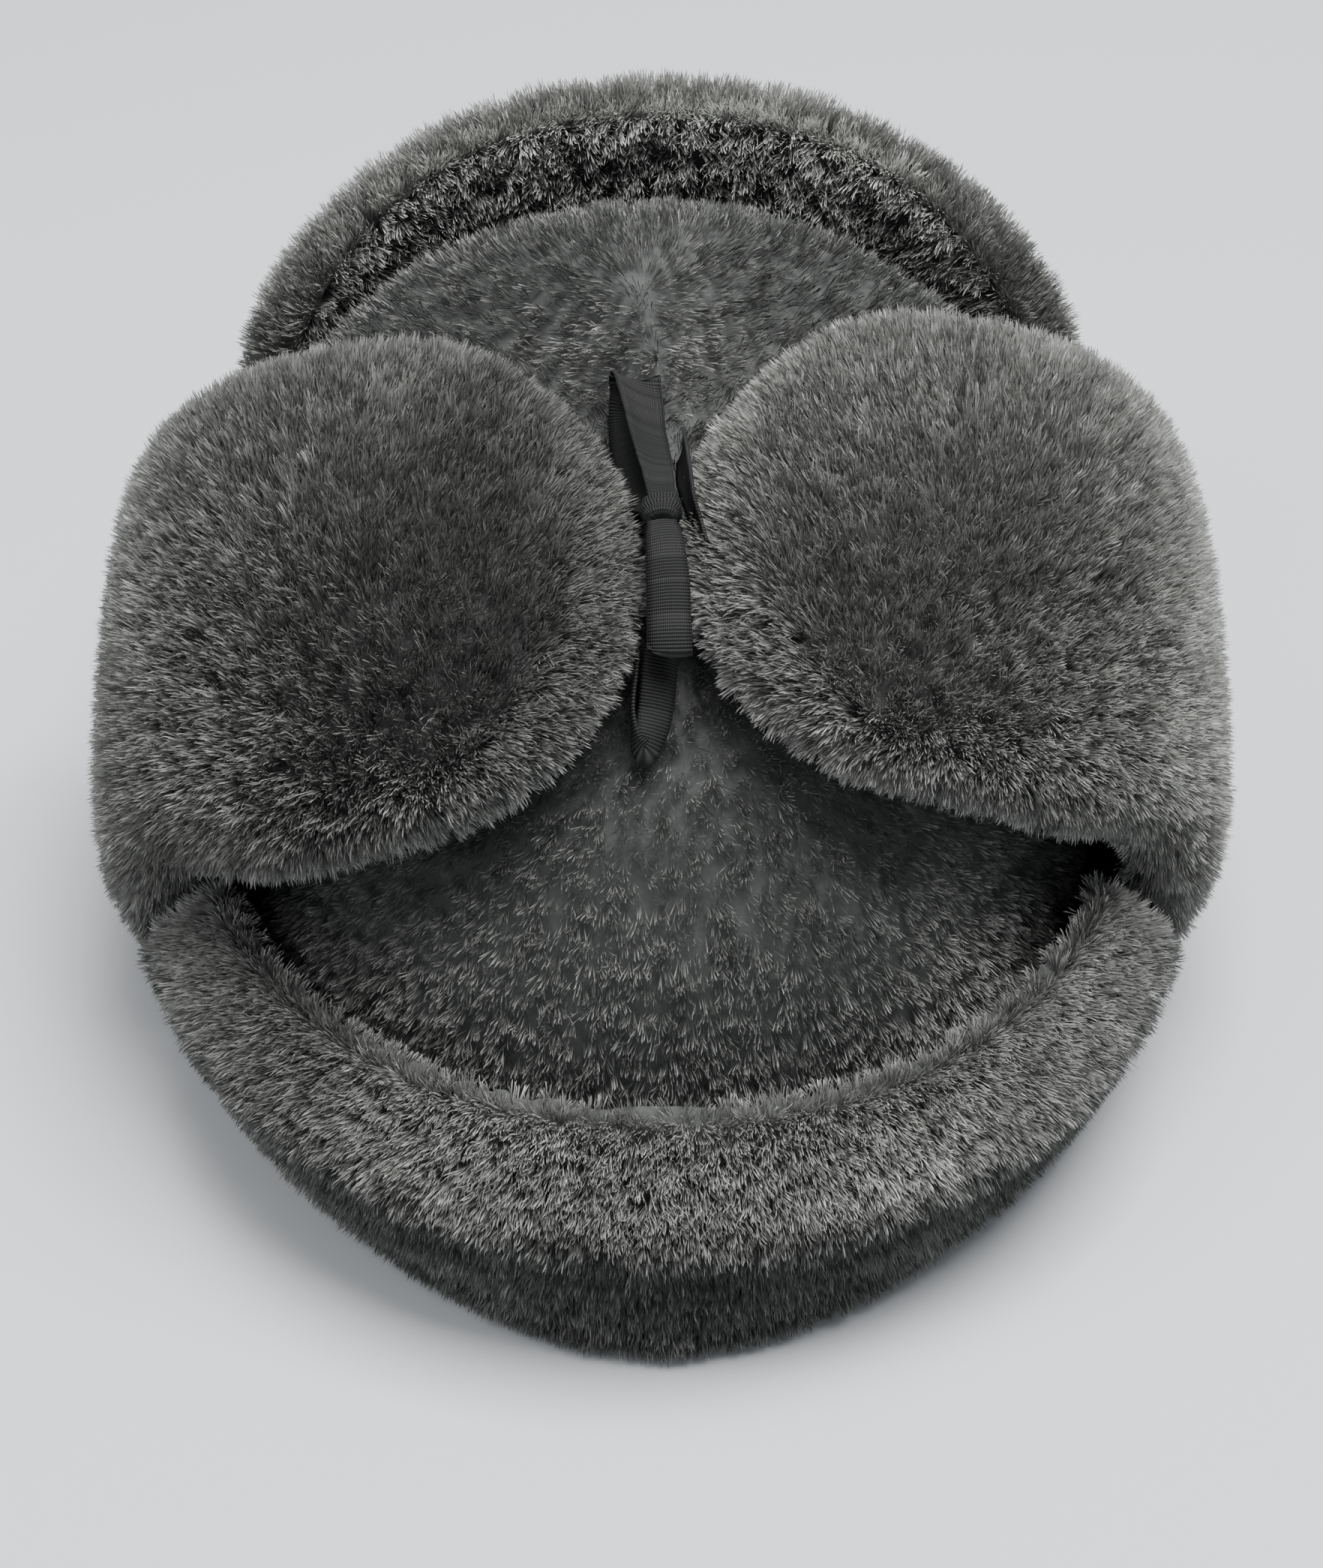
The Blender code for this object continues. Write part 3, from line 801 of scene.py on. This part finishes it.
def scattered_tufts(g):
    """Tufts on the skin, each turned to its direction and as long as the pile is deep there."""
    seed = g.given("Seed")
    density = g.math("MULTIPLY", g.read(GROWTH), g.given("Tufts per Square Metre"))
    points = g.add(
        "GeometryNodeDistributePointsOnFaces", mesh=g.given("Geometry"), density=density, seed=seed
    )
    spread = g.given("Length Spread")
    shortest, longest = g.math("SUBTRACT", 1.0, spread), g.math("ADD", 1.0, spread)
    length = g.math("MULTIPLY", g.chance(shortest, longest, g.math("ADD", seed, 1.0)), g.read(DEPTH))
    way = above_floor(g, leaning(g), length)
    turned = g.add("FunctionNodeAlignRotationToVector", {"axis": "Z"}, vector=way)
    spin = g.add(
        "FunctionNodeAxisAngleToRotation", axis=(0.0, 0.0, 1.0), angle=g.chance(0.0, math.tau, seed)
    )
    rotation = g.add(
        "FunctionNodeRotateRotation",
        {"rotation_space": "LOCAL"},
        rotation=g.out(turned),
        rotate_by=g.out(spin),
    )
    tuft = g.add("GeometryNodeObjectInfo", object=g.given("Tuft"))
    return g.add(
        "GeometryNodeInstanceOnPoints",
        points=g.out(points, "Points"),
        instance=g.out(tuft, "Geometry"),
        rotation=g.out(rotation),
        scale=g.joined(x=1.0, y=1.0, z=length),
    )


def build_fur_tree():
    g = Grower("grow_fur", FUR_SIZES)
    tufts = scattered_tufts(g)
    chance = g.chance(-1.0, 1.0, g.math("ADD", g.given("Seed"), 2.0))
    tint = g.math("ADD", g.read(TONE), g.math("MULTIPLY", chance, g.given("Tint Spread")))
    low, high = TINT_LIMITS
    marked = g.add(
        "GeometryNodeStoreNamedAttribute",
        {"data_type": "FLOAT", "domain": "INSTANCE"},
        geometry=g.out(tufts),
        name="tint",
        value=g.out(g.add("ShaderNodeClamp", value=tint, min=low, max=high)),
    )
    real = g.add("GeometryNodeRealizeInstances", geometry=g.out(marked))
    strip = g.add("ShaderNodeSeparateXYZ", vector=g.read("OFBake", "FLOAT_VECTOR"))
    low, high = MAP_LIMITS
    shifted = g.add(
        "ShaderNodeClamp", value=g.math("ADD", strip.outputs[0], g.read("tint")), min=low, max=high
    )
    stored = g.add(
        "GeometryNodeStoreNamedAttribute",
        {"data_type": "FLOAT2", "domain": "CORNER"},
        geometry=g.out(real),
        name="OFBake",
        value=g.joined(x=g.out(shifted), y=strip.outputs[1]),
    )
    return g.end(stored)


FUR_TREE = build_fur_tree()
print("the fur tree has", len(FUR_TREE.tree.nodes), "nodes")

# %% [markdown]
# ## The pile of one piece
#
# The number of tufts is chosen for each piece, because it decides how heavy the file gets. Their density
# follows from it and from the furred area, so that a change of size doesn't change the number of blades.

# %% Grow one piece's pile


def furred_area(mesh):
    """The area of a skin, each face counted by its growth."""
    growth = mesh.attributes[GROWTH].data
    return sum(
        face.area * sum(growth[corner].value for corner in face.vertices) / len(face.vertices)
        for face in mesh.polygons
    )


def grow(name, skin, finish, tufts, ruffle, seed):
    """The pile of one skin, as a plain mesh of about this many tufts."""
    made = add_object(name, skin.data.copy())
    fur = made.modifiers.new("fur", "NODES")
    fur.node_group = FUR_TREE.tree
    given = {
        "Tuft": TUFT,
        "Material": finish,
        "Tufts per Square Metre": tufts / furred_area(skin.data),
        "Ruffle": ruffle,
        "Seed": seed,
    }
    for label, value in given.items():
        fur[FUR_TREE.ids[label]] = value
    finished(made)
    print(name, "has", len(made.data.polygons), "blades")
    return made


print("the density is set by the identifier", FUR_TREE.ids["Tufts per Square Metre"])

# %% [markdown]
# ## The five furred pieces
#
# The crown is of the same plush as the flaps, but its pile looks shorter and lies smoother, so it has a
# small depth and little ruffle. The nape flap has the tightest edges and gets the finest skin. The four
# flaps are padded, and the crown is a hollow shell and not a pad.

# %% Make the furred pieces
FLAP_PILE = 0.0064
CROWN_PILE = 0.0032
CROWN_RUFFLE = 0.45
FLAP_RUFFLE = 0.85
CROWN = ("crown_fur", CROWN_FUR, CROWN_PILE, CROWN_RUFFLE)
FLAP = ("flap_fur", FLAP_FUR, FLAP_PILE, FLAP_RUFFLE)
Fur = namedtuple("Fur", "node voxel grows comb light tufts seed slot finish deep ruffle")
FURS = (
    Fur("crown", 0.0050, crown_pile, comb_crown, crown_light, 14700, 3, *CROWN),
    Fur("front_flap", 0.0036, front_pile, comb_front, front_light, 14800, 4, *FLAP),
    Fur("nape_flap", 0.0026, faces_out, comb_nape, nape_light, 13300, 5, *FLAP),
    Fur("ear_flap_left", 0.0038, faces_out, comb_ear, ear_light, 14400, 6, *FLAP),
    Fur("ear_flap_right", 0.0038, faces_out, comb_ear, ear_light, 14400, 7, *FLAP),
)
for fur in FURS:
    skin = fit_skin(fur.node, fur.voxel, fur.grows, fur.comb, fur.light, fur.deep)
    pile = grow(fur.node + "_pile", skin, fur.finish, fur.tufts, fur.ruffle, fur.seed)
    for piece in (skin, pile):
        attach(piece, "root")
    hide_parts(fur.node)
    fur.node != "crown"
bpy.data.objects.remove(TUFT)

# %% [markdown]
# ## The ribbon
#
# A narrow ribbed ribbon is sewn to each ear flap's end. The two are tied in a bow between the flaps: a long
# loop lies towards the front, a short one falls towards the nape, and the two ends come out under them.
# Each route is a few stops, seen from the knot. To the left and to the back they are shares of the long
# loop's length, and over the crown they are shares of the knot's rise, as they are in the plain model. A
# cloth simulation would have to tie the knot first, and a line through stops can follow the photo.

# %% Lay out the ribbon's stops
RIBBON_WIDTH = 0.0095
RIBBON_THICKNESS = 0.0006
RIB_PITCH = 0.00068
LOOP_LENGTH = 0.0575
KNOT_RISE = 0.0175
Stop = namedtuple("Stop", "left back rise turn spread slant", defaults=(0,))
UPPER_LOOP = (
    Stop(0.000, -0.050, 1.057, 0, 0.55),
    Stop(0.012, -0.200, 0.960, 8, 0.65),
    Stop(0.030, -0.420, 0.700, 18, 0.80),
    Stop(0.058, -0.680, 0.480, 24, 0.92, 0.25),
    Stop(0.082, -0.900, 0.390, 16, 1, 0.50),
    Stop(0.100, -0.985, 0.300, 4, 1, 0.55),
    Stop(0.116, -0.910, 0.200, 16, 1, -0.50),
    Stop(0.112, -0.680, 0.150, 28, 1, -0.15),
    Stop(0.078, -0.400, 0.260, 22, 0.95),
    Stop(0.035, -0.200, 0.560, 12, 0.80),
    Stop(0.000, -0.050, 0.900, 0, 0.55),
)
LOWER_LOOP = (
    Stop(0.000, 0.050, 1.057, 0, 0.60),
    Stop(-0.012, 0.160, 1.110, 3, 0.78),
    Stop(-0.022, 0.300, 1.110, 5, 0.88),
    Stop(-0.026, 0.435, 1.086, 6, 0.90),
    Stop(-0.028, 0.495, 0.990, 6, 0.92),
    Stop(-0.024, 0.435, 0.905, 6, 0.90),
    Stop(-0.014, 0.243, 0.914, 0, 0.80),
    Stop(0.000, 0.050, 0.903, 0, 0.60),
)
RIGHT_END = (
    Stop(-0.075, -0.620, 0.371, -8, 0.90),
    Stop(-0.080, -0.452, 0.514, -16, 0.80),
    Stop(-0.088, -0.278, 0.720, -18, 0.70),
    Stop(-0.110, -0.080, 0.800, -12, 0.60),
    Stop(-0.150, 0.060, 0.700, -6, 0.60),
)
LEFT_END = (
    Stop(0.000, 0.035, 0.420, 0, 0.80),
    Stop(-0.010, 0.209, 0.400, 30, 0.80),
    Stop(0.000, 0.400, 0.375, 58, 0.80),
    Stop(0.020, 0.540, 0.330, 62, 0.75),
    Stop(0.048, 0.625, 0.300, 40, 0.62),
    Stop(0.085, 0.612, 0.300, 10, 0.55),
    Stop(0.098, 0.540, 0.330, 0, 0.55),
    Stop(0.088, 0.450, 0.370, 0, 0.60),
    Stop(0.080, 0.370, 0.400, 0, 0.60),
)
knot_low, knot_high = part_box("tie_knot")
KNOT = (Vector(knot_low) + Vector(knot_high)) / 2
print("the knot is", round(KNOT.z * 1000), "mm above the floor")

# %% [markdown]
# ## A smooth line through the stops
#
# A curve object could do it, but a strip also has to turn, narrow and slant on its way. So the line is
# worked out here in even steps, and each step carries its own turn, spread and slant.

# %% Follow the stops
ROW_STEP = 0.00015
FINE_STEPS = 60


def route_of(stops):
    """A smooth line through the stops, with the turn, spread and slant at each point, in even steps."""
    places = []
    for stop in stops:
        left, back = KNOT.x + stop.left * LOOP_LENGTH, KNOT.y + stop.back * LOOP_LENGTH
        below = CROWN_TREE.ray_cast(Vector((left, back, 1)), Vector((0, 0, -1)))[0]
        places.append(below + Vector((0, 0, stop.rise * KNOT_RISE)))
    ends = [places[0] * 2 - places[1], *places, places[-1] * 2 - places[-2]]
    route = []
    since_last = 0.0
    previous = places[0]
    for at, (stop, following) in enumerate(zip(stops, stops[1:])):
        before, start, end, after = ends[at : at + 4]
        for step in range(FINE_STEPS):
            share = step / FINE_STEPS
            bend = 2 * before - 5 * start + 4 * end - after
            twist = 3 * start - before - 3 * end + after
            point = start + (share * (end - before) + share**2 * bend + share**3 * twist) / 2
            since_last += (point - previous).length
            previous = point
            if since_last >= ROW_STEP or not route:
                since_last = 0.0
                turn, spread, slant = (
                    between(getattr(stop, what), getattr(following, what), smooth(share))
                    for what in ("turn", "spread", "slant")
                )
                route.append((point, turn, spread, slant))
    return route


print("the long loop has", len(route_of(UPPER_LOOP)), "rows of corners")

# %% [markdown]
# ## A closed band
#
# Strip and knot are both rows of corners in rings, one behind the other, with a face between each four and
# a lid at each end. A closed band has a thickness, so it prints and never shows an empty back. Its map
# gives the place across and along the ribbon, in ribbon widths, for the weave.

# %% Make a strip along its stops
COLUMNS = 6
EDGE_SAG = 0.10
ALONG = "along"


def closed_band(name, bm, rings, mapped):
    """Joins rings of corners into a closed band. mapped gives the map's place from a ring and a corner."""
    weave = bm.loops.layers.uv.new("weave")
    for row, (one, other) in enumerate(zip(rings, rings[1:])):
        for at in range(len(one)):
            after = (at + 1) % len(one)
            face = bm.faces.new((one[at], one[after], other[after], other[at]))
            spots = ((row, at), (row, at + 1), (row + 1, at + 1), (row + 1, at))
            for loop, (ring, corner) in zip(face.loops, spots):
                loop[weave].uv = mapped(ring, corner)
    for ring in (rings[0], rings[-1]):
        bm.faces.new(ring)
    bmesh.ops.recalc_face_normals(bm, faces=bm.faces)
    mesh = mesh_from(bm, name)
    mesh.shade_smooth()
    return add_object(name, mesh)


def strip(name, stops, side):
    """A closed band along the stops, its width along side apart from each stop's turn."""
    route = route_of(stops)
    bm = bmesh.new()
    along_layer = bm.verts.layers.float.new(ALONG)
    shares = [face * (2 * column / COLUMNS - 1) for face in (1, -1) for column in range(COLUMNS + 1)]
    rings = []
    travelled = []
    for at, (point, turn, spread, slant) in enumerate(route):
        previous = route[max(at - 1, 0)][0]
        forward = (route[min(at + 1, len(route) - 1)][0] - previous).normalized()
        across = (side - forward * side.dot(forward)).normalized()
        across.rotate(Quaternion(forward, math.radians(turn)))
        up = across.cross(forward).normalized()
        across += forward * slant
        travelled.append((travelled[-1] if travelled else 0.0) + (point - previous).length)
        ring = []
        for number, share in enumerate(shares):
            face = 1 if number <= COLUMNS else -1
            sag = EDGE_SAG * (share**2 - 0.5) * RIBBON_WIDTH * spread
            lift = up * (face * RIBBON_THICKNESS / 2 - sag)
            vertex = bm.verts.new(point + across * share * RIBBON_WIDTH * spread / 2 + lift)
            vertex[along_layer] = travelled[-1]
            ring.append(vertex)
        rings.append(ring)
    return closed_band(
        name,
        bm,
        rings,
        lambda ring, corner: ((shares[corner % len(shares)] + 1) / 2, travelled[ring] / RIBBON_WIDTH),
    )


print("a strip has", 2 * (COLUMNS + 1), "corners in a ring")

# %% [markdown]
# ## The knot
#
# The knot is the ribbon itself, pulled tight round the middle of the bow. A barrel with a few folds round
# it shows that. It lies along the bow, and its map starts at the underside, where the seam can't be seen.

# %% Make the knot's wrap
KNOT_HALF = Vector((0.0039, 0.0034, 0.0032))
KNOT_AROUND = 120
KNOT_ALONG = 28
KNOT_SQUARE = 3.0
KNOT_UNEVEN = 0.05
FOLD_DEPTH = 0.00035
NEARLY_WHOLE = 0.985


def make_wrap(name):
    """A barrel along Y with folds round it."""
    bm = bmesh.new()
    along_layer = bm.verts.layers.float.new(ALONG)
    shares = [
        math.sin((step / KNOT_ALONG - 0.5) * math.pi * NEARLY_WHOLE) for step in range(KNOT_ALONG + 1)
    ]
    angles = [math.tau * (turn / KNOT_AROUND - 0.25) for turn in range(KNOT_AROUND + 1)]
    rings = []
    for share in shares:
        full = (1 - abs(share) ** KNOT_SQUARE) ** (1 / KNOT_SQUARE)
        ring = []
        for angle in angles[:-1]:
            fold = FOLD_DEPTH * math.sin(share * 8.5 + 1.1 * math.sin(angle + 0.6)) * full
            reach = full * (1 + KNOT_UNEVEN * math.sin(3 * angle + 1))
            place = Vector((
                math.cos(angle) * (KNOT_HALF.x * reach + fold),
                share * KNOT_HALF.y,
                math.sin(angle) * (KNOT_HALF.z * reach + fold),
            ))
            vertex = bm.verts.new(KNOT + place)
            vertex[along_layer] = angle * KNOT_HALF.x
            ring.append(vertex)
        rings.append(ring)
    return closed_band(
        name,
        bm,
        rings,
        lambda ring, corner: ((shares[ring] + 1) / 2, angles[corner] * KNOT_HALF.x / RIBBON_WIDTH),
    )


print("the knot is", round(KNOT_HALF.x * 2000, 1), "mm wide")

# %% [markdown]
# ## The ribbon's weave
#
# The ribbon is a black ribbed weave: thick threads lie across it, bound by thin ones along it. The light on
# the ribs' crowns is a painted highlight, and their valleys are painted nearly black as shade. Both waves
# come from the ribbon's own map, so they follow each turn of it, and a little noise keeps them from looking
# printed.

# %% Make the ribbon's finish
THREADS = 20
VALLEY_PAINTED_SHADE = colour(0.002, 0.002, 0.002)
RIB_PAINTED_HIGHLIGHT = colour(0.034, 0.035, 0.034)


def make_ribbon_finish():
    made, shader, wire = new_material("ribbon_weave", roughness=0.6, Specular_IOR_Level=0.2)
    place = wire.node("ShaderNodeUVMap", {"uv_map": "weave"})
    across = wire.node("ShaderNodeSeparateXYZ", vector=place)
    along = wire.node("ShaderNodeSeparateXYZ", output=1, vector=place)
    threads = (across * (math.tau * THREADS)).math("SINE") * 0.5 + 0.5
    ribs = (along * (math.tau * RIBBON_WIDTH / RIB_PITCH)).math("COSINE") * 0.5 + 0.5
    fuzz = wire.node("ShaderNodeTexNoise", vector=place, scale=40.0, detail=3.0)
    # Painted highlight on the ribs' crowns and threads, painted shade in the valleys between them.
    light = ribs * (threads * 0.5 + 0.5) * (fuzz + 0.35)
    weave = mix_colours(wire, light, VALLEY_PAINTED_SHADE, RIB_PAINTED_HIGHLIGHT)
    plug(made.node_tree, shader.inputs["Base Color"], weave)
    bump = wire.node("ShaderNodeBump", height=threads + fuzz * 0.5, strength=0.5, distance=0.00012)
    plug(made.node_tree, shader.inputs["Normal"], bump)
    return made


RIBBON_FINISH = make_ribbon_finish()
print("made", RIBBON_FINISH.name)

# %% [markdown]
# ## Ribs that stand up
#
# A rib is the same everywhere, so Geometry Nodes raise them all: the tree reads how far along the ribbon a
# corner lies, and moves it out along its normal by a wave. Unlike bump, that also shows at the ribbon's
# edge.

# %% Raise the ribs
RIB_SIZES = (
    ("Rib Pitch", "NodeSocketFloat", RIB_PITCH),
    ("Rib Height", "NodeSocketFloat", 0.00014),
    ("Material", "NodeSocketMaterial", None),
)


def build_rib_tree():
    g = Grower("raise_ribs", RIB_SIZES)
    turns = g.math("DIVIDE", g.read(ALONG), g.given("Rib Pitch"))
    wave = g.math("COSINE", g.math("MULTIPLY", turns, math.tau))
    lift = g.math("MULTIPLY", wave, g.given("Rib Height"))
    offset = g.vector("SCALE", g.out(g.add("GeometryNodeInputNormal")), scale=lift)
    return g.end(g.add("GeometryNodeSetPosition", geometry=g.given("Geometry"), offset=offset))


def ribbed(made):
    ribs = made.modifiers.new("ribs", "NODES")
    ribs.node_group = RIB_TREE.tree
    ribs[RIB_TREE.ids["Material"]] = RIBBON_FINISH
    return finished(made)


RIB_TREE = build_rib_tree()
print("the rib tree has", len(RIB_TREE.tree.nodes), "nodes")

# %% [markdown]
# ## Tying the bow
#
# The loops lie flat on the knot. The two ends stand on edge, as a ribbon does that is squeezed between two
# flaps. Each strip takes the place of its plain solid.

# %% Tie the ribbon
FLAT = Vector((1, 0, 0))
ON_EDGE = Vector((0, 0, 1))
TIE = (
    ("tie_loop_upper", strip("bow_loop_front", UPPER_LOOP, FLAT)),
    ("tie_loop_lower", strip("bow_loop_back", LOWER_LOOP, FLAT)),
    ("tie_end_right", strip("bow_end_right", RIGHT_END, ON_EDGE)),
    ("tie_end_left", strip("bow_end_left", LEFT_END, ON_EDGE)),
    ("tie_knot", make_wrap("bow_knot")),
)
for node, piece in TIE:
    ribbed(piece)
    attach(piece, "root")
    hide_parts(node)
    print(piece.name, "has", len(piece.data.polygons), "faces")

# %% [markdown]
# ## Floor and light
#
# A photographer would light dark fur with one large soft lamp above it, which draws a pale edge round each
# flap and leaves the folds dark, and lift the shadows with the room. The floor is plain and pale.

# %% Light the hat
FLOOR_HALF = 3.0
FLOOR_COLOUR = colour(0.71, 0.73, 0.75)
ROOM_COLOUR = colour(0.92, 0.95, 1.0)
ROOM_LIGHT = 0.42


def make_floor():
    finish, shader, _ = new_material("floor", roughness=0.8)
    shader.inputs["Base Color"].default_value = FLOOR_COLOUR
    bm = bmesh.new()
    bmesh.ops.create_grid(bm, x_segments=1, y_segments=1, size=FLOOR_HALF)
    floor = add_object("floor", mesh_from(bm, "floor"))
    floor.data.materials.append(finish)


def add_lamp(name, place, size, watts):
    lamp = add_object(name, bpy.data.lights.new(name, "AREA"))
    lamp.data.size = size
    lamp.data.energy = watts
    lamp.location = place
    lamp.rotation_euler = (TARGET - Vector(place)).to_track_quat("-Z", "Y").to_euler()


def light_room():
    world = bpy.data.worlds.new("studio")
    world.use_nodes = True
    sky = world.node_tree.nodes["Background"]
    sky.inputs["Color"].default_value = ROOM_COLOUR
    sky.inputs["Strength"].default_value = ROOM_LIGHT
    bpy.context.scene.world = world


make_floor()
add_lamp("softbox", (-0.25, 0.10, 1.45), 0.9, 42)
add_lamp("window", (0.9, 0.5, 1.2), 0.6, 6)
light_room()
print("lit by", [made.name for made in bpy.data.objects if made.type == "LIGHT"])

# %% [markdown]
# ## Sizes, and the end
#
# The fur may stand a little proud of the plain model and no more.
